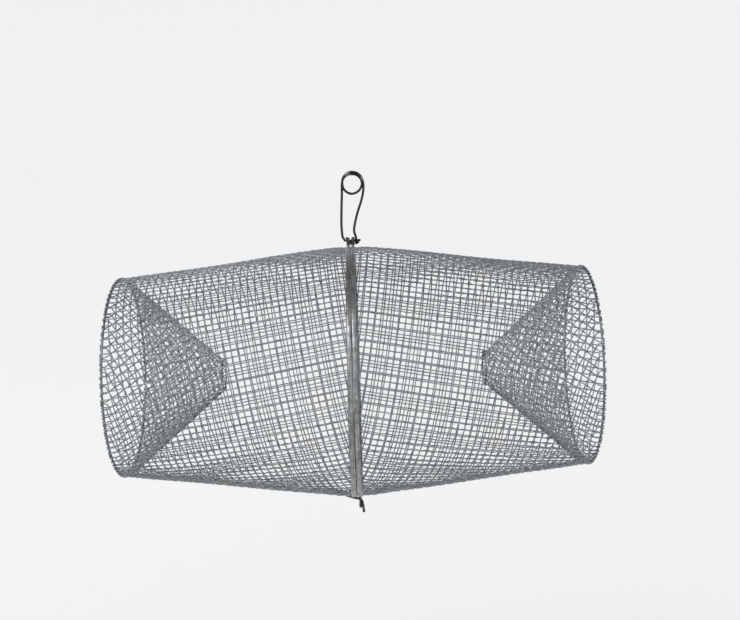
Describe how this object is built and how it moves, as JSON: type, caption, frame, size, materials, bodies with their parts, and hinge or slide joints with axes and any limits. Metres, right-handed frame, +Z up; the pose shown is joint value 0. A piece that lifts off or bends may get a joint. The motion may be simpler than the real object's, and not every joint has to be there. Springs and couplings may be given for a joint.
{
  "type": "minnow trap",
  "caption": "Two-piece wire-mesh funnel trap: mesh cones with inward funnels, sheet-metal rims joined at the middle, and a sprung wire clip it hangs from.",
  "frame": {"origin": "where a line bears on the inside of the clip's coil, above the middle of the trap", "axes": "+X along the trap's axis towards the right half, +Y away from the viewer, +Z up, along the line"},
  "size_m": [0.419, 0.2286, 0.3122],
  "materials": {
    "galvanised_mesh": "galvanised wire, dull silver",
    "galvanised_sheet": "galvanised sheet, spangled",
    "ring_wire": "dull grey galvanised wire",
    "clip_wire": "oil-dark spring wire",
    "tie_wire": "dark weathered wire"
  },
  "bodies": {
    "clip": {"clip_wire": "clip_wire"},
    "clip_latch": {"clip_latch_leg": "clip_wire"},
    "left_half": {"left_body_mesh": "galvanised_mesh", "left_body_seam": "galvanised_mesh", "left_funnel_mesh": "galvanised_mesh", "left_funnel_seam": "galvanised_mesh", "left_mouth_ring": "ring_wire", "left_end_ring": "ring_wire", "left_centre_rim": "galvanised_sheet", "left_clip_eye": "tie_wire", "bottom_hook": "tie_wire"},
    "right_half": {"right_body_mesh": "galvanised_mesh", "right_body_seam": "galvanised_mesh", "right_funnel_mesh": "galvanised_mesh", "right_funnel_seam": "galvanised_mesh", "right_mouth_ring": "ring_wire", "right_end_ring": "ring_wire", "right_centre_rim": "galvanised_sheet", "right_clip_eye": "tie_wire", "bottom_loop": "tie_wire"}
  },
  "joints": [
    {"name": "trap_swing", "type": "hinge", "parent": "clip", "child": "left_half", "pos_m": [-0.0022, 0, -0.06225], "axis": [1, 0, 0], "range_deg": [-90, 90]},
    {"name": "halves_open", "type": "hinge", "parent": "left_half", "child": "right_half", "pos_m": [-0.0003, 0, -0.30105], "axis": [0, 1, 0], "range_deg": [0, 85]},
    {"name": "clip_latch", "type": "hinge", "parent": "clip", "child": "clip_latch", "pos_m": [0, 0, -0.00905], "axis": [0, -1, 0], "range_deg": [0, 25], "stiffness_Nm_per_rad": 1.5, "springref_deg": -2.86}
  ]
}
